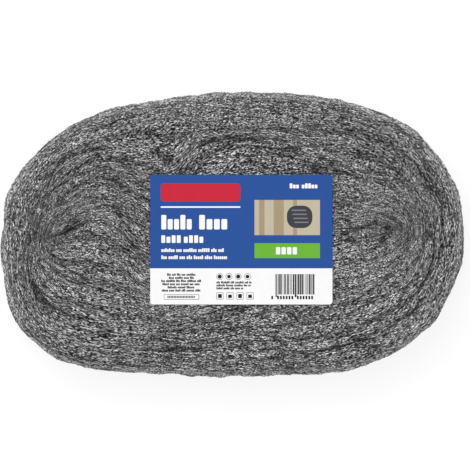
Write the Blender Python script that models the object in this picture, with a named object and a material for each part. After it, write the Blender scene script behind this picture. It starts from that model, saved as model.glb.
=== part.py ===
"""A bundle of steel wool: one long ribbon wound into a flat oval roll, with a printed card label on top.

The roll lies on its flat end. X runs along the oval, Y across it and Z up, and the origin is the middle
of the base. Lengths are in metres.
"""

import math

import bmesh
import bpy
from mathutils import Vector

MM = 0.001
DEGREE = math.pi / 180

# The roll's outer form
ROLL_LENGTH = 300 * MM
ROLL_WIDTH = 185.4 * MM
RIBBON_WIDTH = 85 * MM
OVAL_POWER = 2.45
SIDE_BARREL = 2.5 * MM
TOP_SHOULDER = 13 * MM
BASE_SHOULDER = 9 * MM
TOP_SAG = 3 * MM
SAG_REACH = 40 * MM

# Where the soft oval is fuller or flatter than its curve: direction, spread and height
BULGES = (
    (346 * DEGREE, 5 * DEGREE, -1.8 * MM),
    (226 * DEGREE, 7 * DEGREE, 1.2 * MM),
    (211 * DEGREE, 12 * DEGREE, 11.5 * MM),
    (171 * DEGREE, 5 * DEGREE, 1.3 * MM),
    (160 * DEGREE, 9 * DEGREE, -3.5 * MM),
    (127 * DEGREE, 18 * DEGREE, -3.2 * MM),
    (47 * DEGREE, 6 * DEGREE, 1 * MM),
    (30 * DEGREE, 6 * DEGREE, 1.4 * MM),
    (19 * DEGREE, 5 * DEGREE, -1.8 * MM),
)

# The ribbon's loose end, which lies on the outer turn and thins out along it
TAIL_DIRECTION = 303 * DEGREE
TAIL_SPREAD = 42 * DEGREE
TAIL_THICKNESS = 4.4 * MM

# The collapsed core: a slit from end to end, tilted a little. It waves up and down where it has buckled,
# given as the place along the slit, the spread and the height of each wave
SLIT_LEFT = -115 * MM
SLIT_RIGHT = 104 * MM
SLIT_GAP = 2.4 * MM
SLIT_DEPTH = 3 * MM
SLIT_RISE = 5 * MM
CORE_WAVES = (
    (-86 * MM, 17 * MM, 15 * MM),
    (-44 * MM, 22 * MM, -15 * MM),
)

# The turns of the ribbon. The outer turn rolls over the shoulder and is as thick all round, and the inner
# ones are pressed together at the oval's ends. The groove between two turns starts under the loose end, and
# its depth comes and goes in waves this many turns long.
TURNS = 10
OUTER_TURN = 12.5 * MM
GROOVE_DEPTH = 2.3 * MM
BASE_GROOVE_DEPTH = 1.5 * MM
GROOVE_VARIATION = 0.4
GROOVE_WAVE_TURNS = 0.29
GROOVE_FADE_TURNS = 0.1
CROWN_STARTS = 0.25
CROWN_ENDS = 0.75

# The wool's broad hollows on the side and the upper end: how deep they are, and how far apart across the
# turns. They wander up and down, and come and go, in whole waves round the roll.
SIDE_HOLLOW = 1.6 * MM
SIDE_HOLLOW_PITCH = 20 * MM
TOP_HOLLOW = 1.2 * MM
TOP_HOLLOW_PITCH_TURNS = 2.3
SLOW_WANDER = 0.45
SLOW_WANDER_WAVES = 5
QUICK_WANDER = 0.3
QUICK_WANDER_WAVES = 8
HOLLOW_VARIATION = 0.3
HOLLOW_VARIATION_WAVES = 7

# The card label
LABEL_LENGTH = 118 * MM
LABEL_WIDTH = 84 * MM
LABEL_THICKNESS = 0.3 * MM
LABEL_CORNER = 2 * MM
LABEL_RIGHT_OF_CENTRE = 5.5 * MM
LABEL_BELOW_CENTRE = 3.3 * MM
LABEL_CLEARANCE = 0.3 * MM

# How finely the solids are faceted
COLUMNS = 72
SIDE_ROWS = 12
CORNER_FACETS = 4
WELD = 0.001 * MM


def bell(offset, spread):
    """Returns 1 in the middle and falls smoothly to 0 on both sides."""
    return math.exp(-0.5 * (offset / spread) ** 2)


def column_angle(column):
    """Returns the direction of a column from the roll's middle, counted on from the loose end."""
    return TAIL_DIRECTION + math.tau * column / COLUMNS


def oval_radius(angle):
    """Returns how far the wound turns reach from the roll's middle, in a direction."""
    across = abs(math.cos(angle)) / (ROLL_LENGTH / 2)
    up = abs(math.sin(angle)) / (ROLL_WIDTH / 2)
    radius = (across**OVAL_POWER + up**OVAL_POWER) ** (-1 / OVAL_POWER)
    for direction, spread, height in BULGES:
        radius += height * bell(math.remainder(angle - direction, math.tau), spread)
    return radius


def tail_thickness(angle):
    """Returns how much the loose end adds to the outer turn, in a direction."""
    return TAIL_THICKNESS * max(0, 1 - (angle - TAIL_DIRECTION) % math.tau / TAIL_SPREAD)


def outline_points():
    """Returns the wound turns' outline, one point for each column.

    The outline is placed so that the roll, with its loose end, has the middle of its box at the origin.
    """
    rays = [(math.cos(angle), math.sin(angle)) for angle in map(column_angle, range(COLUMNS))]
    bare = [oval_radius(column_angle(column)) for column in range(COLUMNS)]
    full = [radius + tail_thickness(column_angle(column)) for column, radius in enumerate(bare)]
    outer = [Vector(ray) * radius for ray, radius in zip(rays, full)]
    low = Vector((min(p.x for p in outer), min(p.y for p in outer)))
    high = Vector((max(p.x for p in outer), max(p.y for p in outer)))
    middle = (low + high) / 2
    return [Vector(ray) * radius - middle for ray, radius in zip(rays, bare)]


def slit_point(column):
    """Returns the point of the slit's rim that faces a column of the outline."""
    angle = column_angle(column)
    x = (SLIT_LEFT + SLIT_RIGHT) / 2 + (SLIT_RIGHT - SLIT_LEFT) / 2 * math.cos(angle)
    y = SLIT_RISE * math.cos(angle) + SLIT_GAP / 2 * math.sin(angle)
    for wave_x, spread, height in CORE_WAVES:
        y += height * bell(x - wave_x, spread)
    return Vector((x, y))


def shoulder_drop(inset, radius):
    """Returns how far a rounded shoulder has fallen at a distance in from the outline."""
    if inset >= radius:
        return 0
    return radius - math.sqrt(radius**2 - (radius - inset) ** 2)


def groove_depth(turns_out, depth):
    """Returns a groove's depth at a number of turns out from the slit. The outer turn has none in it."""
    wave = math.sin(math.tau * turns_out / GROOVE_WAVE_TURNS)
    fade = min(1, max(0, TURNS - 1 - turns_out) / GROOVE_FADE_TURNS)
    return fade * depth * (1 - GROOVE_VARIATION * (1 - wave))


def hollow(share_round, pitches_across):
    """Returns how far the wool is hollowed, from 0 to 1, at a share of the way round the roll."""
    turn = math.tau * share_round
    wander = SLOW_WANDER * math.sin(SLOW_WANDER_WAVES * turn) + QUICK_WANDER * math.cos(QUICK_WANDER_WAVES * turn)
    strength = 1 - HOLLOW_VARIATION * (1 + math.sin(HOLLOW_VARIATION_WAVES * turn))
    return strength * (1 - math.sin(math.tau * (pitches_across + wander))) / 2


class Roll:
    """The wound roll's surface, worked out column by column round the oval and row by row across it."""

    def __init__(self):
        self.outline = outline_points()
        self.slit = [slit_point(column) for column in range(COLUMNS)]

    def inset_point(self, column, inset, outer_turn):
        """Returns the point that lies inset from the outline, on the way to the slit.

        The loose end lifts the outer turn: outer_turn is 0 at its inner side and 1 at its outer side.
        """
        rim = self.outline[column]
        inset -= outer_turn * tail_thickness(column_angle(column))
        return rim + (self.slit[column] - rim).normalized() * inset

    def turn_inset(self, column, turns_out):
        """Returns how far a place lies in from the barrelled edge, turns_out from the slit."""
        inner_turns = TURNS - 1
        if turns_out > inner_turns:
            return (TURNS - turns_out) * OUTER_TURN
        reach = (self.outline[column] - self.slit[column]).length - SIDE_BARREL
        return OUTER_TURN + (1 - turns_out / inner_turns) * (reach - OUTER_TURN)

    def end_point(self, column, row_turn, groove, top):
        """Returns a point on an end face, in a row that is row_turn out at its start and winds in by one."""
        turns_out = min(max(row_turn - column / COLUMNS, 0), TURNS)
        column %= COLUMNS
        inset = self.turn_inset(column, turns_out)
        drop = shoulder_drop(inset, TOP_SHOULDER if top else BASE_SHOULDER)
        if turns_out == 0:
            drop = SLIT_DEPTH
        elif top:
            drop += TOP_SAG * max(0, 1 - inset / SAG_REACH) ** 2
            depth = TOP_HOLLOW * min(1, inset / TOP_SHOULDER)
            drop += depth * hollow(column / COLUMNS, turns_out / TOP_HOLLOW_PITCH_TURNS)
        if groove and turns_out > 0:
            drop += groove_depth(turns_out, GROOVE_DEPTH if top else BASE_GROOVE_DEPTH)
        place = self.inset_point(column, SIDE_BARREL + inset, max(0, turns_out - (TURNS - 1)))
        return Vector((place.x, place.y, RIBBON_WIDTH - drop if top else drop))

    def edge_height(self, column, top):
        """Returns the height at which an end face meets the side."""
        return self.end_point(column, TURNS + 1, False, top).z

    def side_point(self, column, row):
        """Returns a point on the barrelled side, where row 0 is the top edge."""
        share = row / SIDE_ROWS
        high = self.edge_height(column, True)
        low = self.edge_height(column, False)
        height = high + (low - high) * share
        depth = SIDE_HOLLOW * hollow(column / COLUMNS, height / SIDE_HOLLOW_PITCH)
        inset = SIDE_BARREL + (depth - SIDE_BARREL) * math.sin(math.pi * share)
        place = self.inset_point(column, inset, 1)
        return Vector((place.x, place.y, height))


def add_grid(mesh, rows, outwards):
    """Adds quads between neighbouring rows of points, with their faces outwards."""
    made = [[mesh.verts.new(point) for point in row] for row in rows]
    for upper, lower in zip(made, made[1:]):
        for column in range(len(upper) - 1):
            corners = [upper[column], lower[column], lower[column + 1], upper[column + 1]]
            mesh.faces.new(corners if outwards else corners[::-1])


def end_rows(roll, top):
    """Returns the rows of an end face, from the slit outwards: each turn's groove and its crown's sides."""
    rows = []
    for turn in range(TURNS + 1):
        for share in (0, CROWN_STARTS, CROWN_ENDS):
            rows.append(
                [roll.end_point(column, turn + share, share == 0, top) for column in range(COLUMNS + 1)]
            )
    rows.append([roll.end_point(column, TURNS + 1, False, top) for column in range(COLUMNS + 1)])
    return rows


def side_rows(roll):
    """Returns the rows of the side, from the top edge down, each closed on its first point."""
    return [
        [roll.side_point(column % COLUMNS, row) for column in range(COLUMNS + 1)]
        for row in range(SIDE_ROWS + 1)
    ]


def close_slit(mesh, roll, top):
    """Fills the bottom of the slit on an end face."""
    rim = [mesh.verts.new(roll.end_point(column, 0, False, top)) for column in range(COLUMNS)]
    mesh.faces.new(rim if top else rim[::-1])


def finish_object(name, mesh, material):
    """Turns a bmesh into an object in the scene, with a material."""
    data = bpy.data.meshes.new(name)
    mesh.to_mesh(data)
    mesh.free()
    data.materials.append(material)
    made = bpy.data.objects.new(name, data)
    bpy.context.scene.collection.objects.link(made)
    return made


def plain_material(name, colour, roughness, metallic):
    """Returns a Principled material."""
    material = bpy.data.materials.new(name)
    material.use_nodes = True
    shader = material.node_tree.nodes["Principled BSDF"]
    shader.inputs["Base Color"].default_value = (*colour, 1)
    shader.inputs["Roughness"].default_value = roughness
    shader.inputs["Metallic"].default_value = metallic
    return material


def build_wool_roll():
    """Builds the roll as one closed solid, with the turns standing out on both of its flat ends."""
    roll = Roll()
    mesh = bmesh.new()
    add_grid(mesh, end_rows(roll, True), True)
    add_grid(mesh, side_rows(roll), True)
    add_grid(mesh, end_rows(roll, False), False)
    close_slit(mesh, roll, True)
    close_slit(mesh, roll, False)
    bmesh.ops.remove_doubles(mesh, verts=mesh.verts, dist=WELD)
    bmesh.ops.dissolve_degenerate(mesh, dist=WELD, edges=mesh.edges)
    bmesh.ops.triangulate(mesh, faces=mesh.faces)
    made = finish_object("wool_roll", mesh, plain_material("steel_wool", (0.15, 0.15, 0.15), 0.6, 0.6))
    made.data.shade_smooth()
    made.data.set_sharp_from_angle(angle=math.radians(50))
    return made


def build_card_label():
    """Builds the label: a thin card with rounded corners, which lies on the crowns of the turns."""
    mesh = bmesh.new()
    bmesh.ops.create_grid(mesh, x_segments=1, y_segments=1, size=0.5)
    bmesh.ops.scale(mesh, vec=(LABEL_LENGTH, LABEL_WIDTH, 1), verts=mesh.verts)
    bmesh.ops.bevel(
        mesh, geom=mesh.verts[:], offset=LABEL_CORNER, segments=CORNER_FACETS, profile=0.5, affect="VERTICES"
    )
    sheet = bmesh.ops.extrude_face_region(mesh, geom=mesh.faces[:])
    raised = [item for item in sheet["geom"] if isinstance(item, bmesh.types.BMVert)]
    bmesh.ops.translate(mesh, vec=(0, 0, LABEL_THICKNESS), verts=raised)
    bmesh.ops.recalc_face_normals(mesh, faces=mesh.faces)
    made = finish_object("card_label", mesh, plain_material("printed_card", (0.028, 0.095, 0.37), 0.45, 0))
    made.location = (LABEL_RIGHT_OF_CENTRE, -LABEL_BELOW_CENTRE, RIBBON_WIDTH + LABEL_CLEARANCE)
    return made


def main():
    """Clears the scene and builds the bundle."""
    for old in list(bpy.data.objects):
        bpy.data.objects.remove(old)
    build_wool_roll()
    build_card_label()


main()
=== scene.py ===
"""Dresses the steel wool bundle: the wound ribbon of fibre, its strands and the printed card label.

Lengths are in metres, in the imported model's frame: X runs along the oval, Y across it and Z up. The roll lies
on its flat end. It is modelled in two layers: a body that carries the turns and their folds, and thousands
of strands laid along the winding.
"""

import logging
import math
import random
from collections.abc import Iterable, Sequence
from dataclasses import dataclass, field
from enum import Enum

import bpy
import numpy as np
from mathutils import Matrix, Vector, geometry, noise


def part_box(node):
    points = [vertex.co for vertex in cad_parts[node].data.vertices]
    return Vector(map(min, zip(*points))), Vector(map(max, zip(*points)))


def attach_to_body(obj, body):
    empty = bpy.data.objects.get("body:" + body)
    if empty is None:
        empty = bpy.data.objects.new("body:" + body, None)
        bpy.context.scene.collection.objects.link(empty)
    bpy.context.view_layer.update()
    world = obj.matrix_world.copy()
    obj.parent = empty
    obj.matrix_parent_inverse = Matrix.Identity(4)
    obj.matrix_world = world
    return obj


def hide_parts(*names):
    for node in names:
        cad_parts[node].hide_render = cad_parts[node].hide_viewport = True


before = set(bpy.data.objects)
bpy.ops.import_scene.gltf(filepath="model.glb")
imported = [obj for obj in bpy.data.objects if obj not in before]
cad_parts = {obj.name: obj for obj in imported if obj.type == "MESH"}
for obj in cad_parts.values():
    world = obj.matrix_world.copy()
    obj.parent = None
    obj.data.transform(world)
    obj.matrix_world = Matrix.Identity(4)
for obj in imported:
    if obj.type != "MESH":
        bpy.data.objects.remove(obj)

MM = 0.001
DEGREE = math.pi / 180
TINY = 1e-12
BAKE_MAP = "OFBake"
TONE = "Tone"
# The body's painted shade in its grooves and creases, which body and strands darken their colour by.
SHADE = "Shade"
FLOW = "Flow"
NOISE_GAIN = 4.0
log = logging.getLogger("steel_wool_bundle")
Point = tuple[float, float]
Socket = bpy.types.NodeSocket


class Zone(Enum):
    """The parts of the roll's surface that get coats of strands of their own."""

    TOP = 0
    SIDE = 1
    BASE = 2
    HIDDEN = 3


class Ink(Enum):
    """The colours that the label is printed in, as linear values."""

    WHITE = (0.96, 0.96, 0.96)
    GREEN = (0.155, 0.465, 0.04)
    RED = (0.6, 0.02, 0.045)
    BLACK = (0.012, 0.012, 0.014)
    GREY = (0.06, 0.06, 0.065)
    SAND = (0.56, 0.49, 0.36)
    TAN = (0.4, 0.32, 0.2)
    SLATE = (0.045, 0.05, 0.06)
    STEEL = (0.22, 0.23, 0.25)


class Draw(Enum):
    """What tells one random draw for a strand from the others."""

    LENGTH = 1
    TILT = 2
    BEND = 3
    DRIFT = 4
    HEIGHT = 5
    SWING = 6
    WHOLE_TONE = 11
    THICKNESS = 12
    PART_TONE = 13


def bell(offset: np.ndarray, spread: float) -> np.ndarray:
    """Returns 1 where the offset is 0 and falls smoothly to 0 on both sides.

    Args:
        offset: Distances from the middle.
        spread: The distance at which the value is 0.61.

    Returns:
        The values, from 0 to 1.
    """
    return np.exp(-0.5 * (offset / spread) ** 2)


def ramp(value: np.ndarray, start: float, end: float) -> np.ndarray:
    """Returns 0 up to start, 1 from end on and a smooth ramp between them.

    Args:
        value: The values to map.
        start: Where the ramp starts.
        end: Where it ends.

    Returns:
        The ramp's values, from 0 to 1.
    """
    share = np.clip((value - start) / (end - start), 0, 1)
    return share * share * (3 - 2 * share)


def noise_at(x: np.ndarray, y: np.ndarray, z: np.ndarray) -> np.ndarray:
    """Returns smooth noise of about -1 to 1 at each point.

    Args:
        x: The first coordinates.
        y: The second coordinates.
        z: The third coordinates.

    Returns:
        The noise, in the shape that the three have together.
    """
    places = np.stack(np.broadcast_arrays(x, y, z), axis=-1)
    values = [noise.noise(place) for place in places.reshape(-1, 3).tolist()]
    return np.array(values).reshape(places.shape[:-1])


class Signal:
    """A value that a node tree works out. Signals that are numbers can be reckoned with like Python's own."""

    def __init__(self, wiring: "Wiring", socket: Socket) -> None:
        """Keeps the output that carries the value.

        Args:
            wiring: The wiring of its tree.
            socket: The output.
        """
        self.wiring = wiring
        self.socket = socket

    def __add__(self, other: object) -> "Signal":
        """Adds a number."""
        return self.wiring.math("ADD", self, other)

    def __sub__(self, other: object) -> "Signal":
        """Takes a number away."""
        return self.wiring.math("SUBTRACT", self, other)

    def __rsub__(self, other: object) -> "Signal":
        """Takes this number away from another."""
        return self.wiring.math("SUBTRACT", other, self)

    def __mul__(self, other: object) -> "Signal":
        """Multiplies by a number."""
        return self.wiring.math("MULTIPLY", self, other)

    def __truediv__(self, other: object) -> "Signal":
        """Divides by a number."""
        return self.wiring.math("DIVIDE", self, other)

    def __pow__(self, other: object) -> "Signal":
        """Raises to a power."""
        return self.wiring.math("POWER", self, other)

    def at_least(self, other: object) -> "Signal":
        """Returns the greater of the two."""
        return self.wiring.math("MAXIMUM", self, other)

    def at_most(self, other: object) -> "Signal":
        """Returns the lesser of the two."""
        return self.wiring.math("MINIMUM", self, other)


class Wiring:
    """Adds nodes to a node tree and links them."""

    def __init__(self, tree: bpy.types.NodeTree) -> None:
        """Keeps the tree.

        Args:
            tree: The node tree to build in.
        """
        self.tree = tree

    def feed(self, socket: Socket, value: object) -> None:
        """Links a signal to an input, or sets the input's value."""
        if isinstance(value, Signal):
            self.tree.links.new(value.socket, socket)
        else:
            socket.default_value = value

    def add(self, kind: str, inputs: dict[str, object] | None = None, **settings: object) -> bpy.types.Node:
        """Adds a node.

        Args:
            kind: The node's type.
            inputs: What goes into its sockets, by identifier: a value or a signal.
            settings: Values for the node's own properties.

        Returns:
            The node.
        """
        node = self.tree.nodes.new(kind)
        for name, value in settings.items():
            setattr(node, name, value)
        for name, value in (inputs or {}).items():
            self.feed(next(socket for socket in node.inputs if socket.identifier == name), value)
        return node

    def take(self, kind: str, inputs: dict[str, object] | None = None, **settings: object) -> Signal:
        """Adds a node and returns its first output."""
        return Signal(self, self.add(kind, inputs, **settings).outputs[0])

    def given(self) -> dict[str, Signal]:
        """Returns the tree's own inputs by name."""
        return {socket.name: Signal(self, socket) for socket in self.add("NodeGroupInput").outputs}

    def math(self, operation: str, *values: object) -> Signal:
        """Adds a Math node and returns its output."""
        node = self.add("ShaderNodeMath", operation=operation)
        for socket, value in zip(node.inputs, values):
            self.feed(socket, value)
        return Signal(self, node.outputs[0])

    def vector(self, operation: str, first: object, second: object) -> Signal:
        """Adds a Vector Math node for two vectors, or for a vector and its scale, and returns its output."""
        node = self.add("ShaderNodeVectorMath", operation=operation)
        self.feed(node.inputs["Vector"], first)
        self.feed(node.inputs["Scale"] if operation == "SCALE" else node.inputs[1], second)
        return Signal(self, node.outputs[0])

    def joined(self, x: object, y: object, z: object) -> Signal:
        """Makes a vector of three numbers and returns the output."""
        return self.take("ShaderNodeCombineXYZ", {"X": x, "Y": y, "Z": z})

    def split(self, vector: Signal) -> list[Signal]:
        """Takes a vector apart and returns its three numbers."""
        parts = self.add("ShaderNodeSeparateXYZ", {"Vector": vector}).outputs
        return [Signal(self, socket) for socket in parts]

    def mapped(
        self, value: Signal, start: object, end: object, low: float = 0.0, high: float = 1.0
    ) -> Signal:
        """Maps a range of numbers onto another, with nothing past its ends.

        Args:
            value: The number.
            start: Where the range starts.
            end: Where it ends.
            low: What the start becomes.
            high: What the end becomes.

        Returns:
            The output.
        """
        given = {"Value": value, "From Min": start, "From Max": end, "To Min": low, "To Max": high}
        return self.take("ShaderNodeMapRange", given)

    def noise(self, place: Signal, scale: object = 1.0, detail: float = 2.0) -> Signal:
        """Adds a noise texture and returns its value."""
        return self.take("ShaderNodeTexNoise", {"Vector": place, "Scale": scale, "Detail": detail})

    def painted(self, name: str, output: str = "Fac") -> Signal:
        """Reads a named attribute inside a material."""
        return Signal(self, self.add("ShaderNodeAttribute", attribute_name=name).outputs[output])

    def either_way(self, most: Signal, key: Signal, seed: Signal, draw: Draw) -> Signal:
        """Draws one random number for each key, up to the given amount either way."""
        return self.random(most * -1.0, most, key, seed, draw)

    def attribute(self, name: str, kind: str = "FLOAT") -> Signal:
        """Reads a named attribute inside a geometry tree."""
        return self.take("GeometryNodeInputNamedAttribute", {"Name": name}, data_type=kind)

    def stored(self, geometry: Signal, name: str, value: Signal, kind: str = "FLOAT") -> Signal:
        """Stores a named attribute on the points of a geometry, and returns the geometry."""
        given = {"Geometry": geometry, "Name": name, "Value": value}
        return self.take("GeometryNodeStoreNamedAttribute", given, data_type=kind)

    def random(self, low: object, high: object, key: Signal, seed: Signal, draw: Draw) -> Signal:
        """Draws one random number for each key.

        Args:
            low: The least value.
            high: The greatest value.
            key: What tells the draws apart.
            seed: The coat's seed.
            draw: What is drawn.

        Returns:
            The output with the numbers.
        """
        given = {"Min_001": low, "Max_001": high, "ID": key, "Seed": seed + draw.value}
        node = self.add("FunctionNodeRandomValue", given, data_type="FLOAT")
        return Signal(self, next(socket for socket in node.outputs if socket.identifier == "Value_001"))


def new_material(name: str) -> tuple[bpy.types.Material, Wiring, bpy.types.Node]:
    """Makes a material with a Principled shader.

    Args:
        name: The material's name.

    Returns:
        The material, the wiring of its tree and the Principled shader.
    """
    material = bpy.data.materials.new(name)
    material.use_nodes = True
    return material, Wiring(material.node_tree), material.node_tree.nodes["Principled BSDF"]


def new_object(name: str, mesh: bpy.types.Mesh) -> bpy.types.Object:
    """Puts a mesh into the scene as an object at the origin.

    Args:
        name: The object's name.
        mesh: Its mesh.

    Returns:
        The object.
    """
    made = bpy.data.objects.new(name, mesh)
    bpy.context.scene.collection.objects.link(made)
    return made


@dataclass(frozen=True)
class Bulge:
    """A place where the oval is fuller or flatter than its curve."""

    direction: float
    spread: float
    height: float


@dataclass(frozen=True)
class CoreWave:
    """A wave in the slit, where the core has buckled."""

    x: float
    spread: float
    height: float


@dataclass(frozen=True)
class Fold:
    """A crease in the top along points in millimetres. A negative depth is a raised lock of fibre."""

    points: tuple[Point, ...]
    width: float
    depth: float


@dataclass(frozen=True)
class Drag:
    """A place in the top where the turns have been dragged sideways, down before a step and up after it."""

    y: float = 50 * MM
    spread: float = 10 * MM
    height: float = 9 * MM
    drop_share: float = 0.7
    before: tuple[float, float] = (-90 * MM, -50 * MM)
    step: tuple[float, float] = (-43 * MM, -20 * MM)
    after: tuple[float, float] = (5 * MM, 85 * MM)

    def shift(self, x: np.ndarray, y: np.ndarray) -> np.ndarray:
        """Returns how far each place is dragged along Y."""
        risen = ramp(x, *self.step)
        up = risen * (1 - ramp(x, *self.after))
        down = self.drop_share * (1 - risen) * ramp(x, *self.before)
        return self.height * bell(y - self.y, self.spread) * (up - down)


@dataclass(frozen=True)
class Winding:
    """The path of the ribbon: the oval outline, the slit in the middle and the turns between them."""

    length: float = 300 * MM
    width: float = 185.4 * MM
    power: float = 2.45
    bulges: tuple[Bulge, ...] = (
        Bulge(346 * DEGREE, 5 * DEGREE, -1.8 * MM),
        Bulge(226 * DEGREE, 7 * DEGREE, 1.2 * MM),
        Bulge(211 * DEGREE, 12 * DEGREE, 11.5 * MM),
        Bulge(171 * DEGREE, 5 * DEGREE, 1.3 * MM),
        Bulge(160 * DEGREE, 9 * DEGREE, -3.5 * MM),
        Bulge(127 * DEGREE, 18 * DEGREE, -3.2 * MM),
        Bulge(47 * DEGREE, 6 * DEGREE, 1 * MM),
        Bulge(30 * DEGREE, 6 * DEGREE, 1.4 * MM),
        Bulge(19 * DEGREE, 5 * DEGREE, -1.8 * MM),
    )
    tail_direction: float = 303 * DEGREE
    tail_spread: float = 42 * DEGREE
    tail_end: float = 4 * DEGREE
    tail_round: float = 7 * DEGREE
    tail_tip: float = 0.55
    tail_thickness: float = 4.4 * MM
    slit_left: float = -115 * MM
    slit_right: float = 104 * MM
    slit_gap: float = 0.5 * MM
    slit_rise: float = 5 * MM
    core_waves: tuple[CoreWave, ...] = (
        CoreWave(-86 * MM, 17 * MM, 15 * MM),
        CoreWave(-44 * MM, 22 * MM, -15 * MM),
    )
    turns: int = 10
    outer_turn: float = 12.5 * MM
    slow_wander: float = 0.45
    slow_wander_waves: int = 5
    quick_wander: float = 0.3
    quick_wander_waves: int = 8
    hollow_variation: float = 0.3
    hollow_variation_waves: int = 7

    def angles(self, columns: int) -> np.ndarray:
        """Returns the direction of each column from the roll's middle, counted on from the loose end."""
        return self.tail_direction + math.tau * np.arange(columns) / columns

    def tail(self, angles: np.ndarray) -> np.ndarray:
        """Returns how much the loose end adds to the outer turn, in each direction."""
        past = (angles - self.tail_direction) % math.tau
        rounding = self.tail_tip + (1 - self.tail_tip) * ramp(past, 0, self.tail_round)
        body = np.clip(1 - past / self.tail_spread, 0, None) * rounding
        return self.tail_thickness * (body + self.tail_tip * ramp(past, math.tau - self.tail_end, math.tau))

    def outline(self, angles: np.ndarray) -> np.ndarray:
        """Works out the wound turns' outline, with the middle of the roll's box at the origin.

        Args:
            angles: The direction of each column, all the way round.

        Returns:
            One x, y for each column.
        """
        along = np.abs(np.cos(angles)) / (self.length / 2)
        across = np.abs(np.sin(angles)) / (self.width / 2)
        radius = (along**self.power + across**self.power) ** (-1 / self.power)
        for bulge in self.bulges:
            away = (angles - bulge.direction + math.pi) % math.tau - math.pi
            radius = radius + bulge.height * bell(away, bulge.spread)
        rays = np.stack([np.cos(angles), np.sin(angles)], axis=1)
        outer = rays * (radius + self.tail(angles))[:, None]
        return rays * radius[:, None] - (outer.min(axis=0) + outer.max(axis=0)) / 2

    def hollow(self, share_round: np.ndarray, pitches_across: np.ndarray) -> np.ndarray:
        """Returns how far the wool is hollowed in its broad waves.

        Args:
            share_round: The share of the way round the roll, counted on from the loose end.
            pitches_across: The place across the turns, in waves.

        Returns:
            The hollow, from 0 to 1.
        """
        turn = math.tau * share_round
        wander = self.slow_wander * np.sin(self.slow_wander_waves * turn)
        wander = wander + self.quick_wander * np.cos(self.quick_wander_waves * turn)
        strength = 1 - self.hollow_variation * (1 + np.sin(self.hollow_variation_waves * turn))
        return strength * (1 - np.sin(math.tau * (pitches_across + wander))) / 2

    def slit(self, angles: np.ndarray) -> np.ndarray:
        """Works out the slit's rim.

        Args:
            angles: The direction of each column.

        Returns:
            One x, y for each column.
        """
        middle = (self.slit_left + self.slit_right) / 2
        x = middle + (self.slit_right - self.slit_left) / 2 * np.cos(angles)
        y = self.slit_rise * np.cos(angles) + self.slit_gap / 2 * np.sin(angles)
        for wave in self.core_waves:
            y = y + wave.height * bell(x - wave.x, wave.spread)
        return np.stack([x, y], axis=1)


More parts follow.
